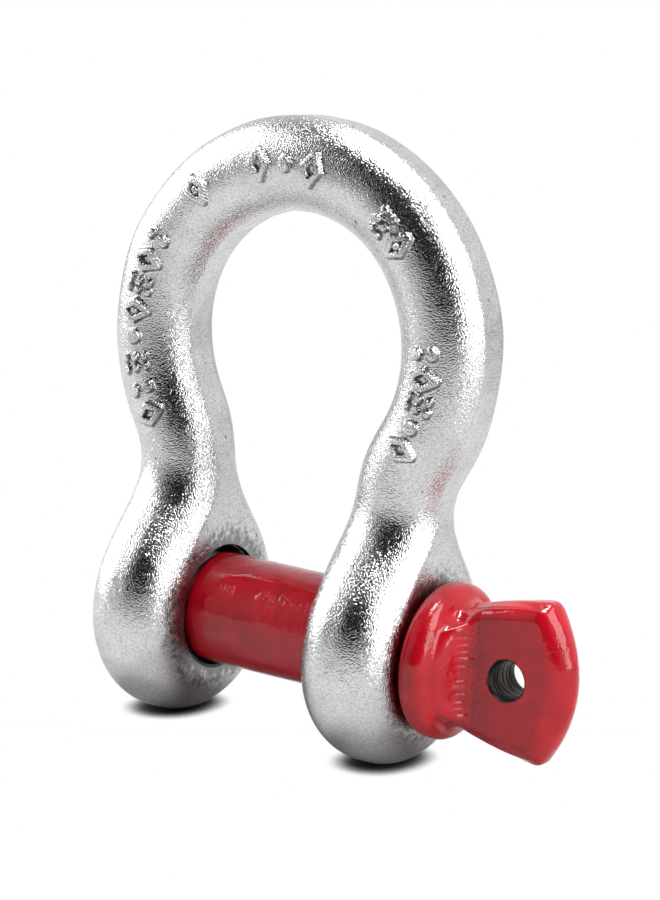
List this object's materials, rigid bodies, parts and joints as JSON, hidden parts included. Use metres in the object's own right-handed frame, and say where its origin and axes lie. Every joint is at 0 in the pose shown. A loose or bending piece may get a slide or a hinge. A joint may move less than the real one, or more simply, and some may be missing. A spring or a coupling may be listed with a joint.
{
  "type": "bow shackle",
  "caption": "Forged bow shackle with a screw pin: a round, wide bow with an eye at each leg, closed by a red pin that has a collar and a flat turning tab with a cross hole.",
  "frame": {"origin": "on the pin's axis, midway between the inner faces of the two eyes", "axes": "+X along the pin towards its head, +Z from the pin's axis up to the crown of the bow, +Y square to the bow's plane"},
  "size_m": [0.0938, 0.0384, 0.1044],
  "materials": {
    "zinc_plated_steel": "bright zinc over forged steel, fine grain with a satin sheen",
    "red_enamel": "glossy red enamel over forged steel",
    "bare_steel": "oiled bare steel, as left by the thread die"
  },
  "bodies": {
    "bow": {"bow": "zinc_plated_steel"},
    "pin_advance": {"pin_shank": "red_enamel"},
    "pin": {"pin_head": "red_enamel", "pin_thread": "bare_steel"}
  },
  "joints": [
    {"name": "pin_travel", "type": "slide", "parent": "bow", "child": "pin_advance", "axis": [1, 0, 0], "range_m": [0, 0.06563]},
    {"name": "pin_turn", "type": "hinge", "parent": "pin_advance", "child": "pin", "pos_m": [0, 0, 0], "axis": [1, 0, 0], "range_deg": [0, 9450]}
  ],
  "couplings": [
    {"joint": "pin_turn", "follows": "pin_travel", "rad_per_m": 2513.3}
  ]
}
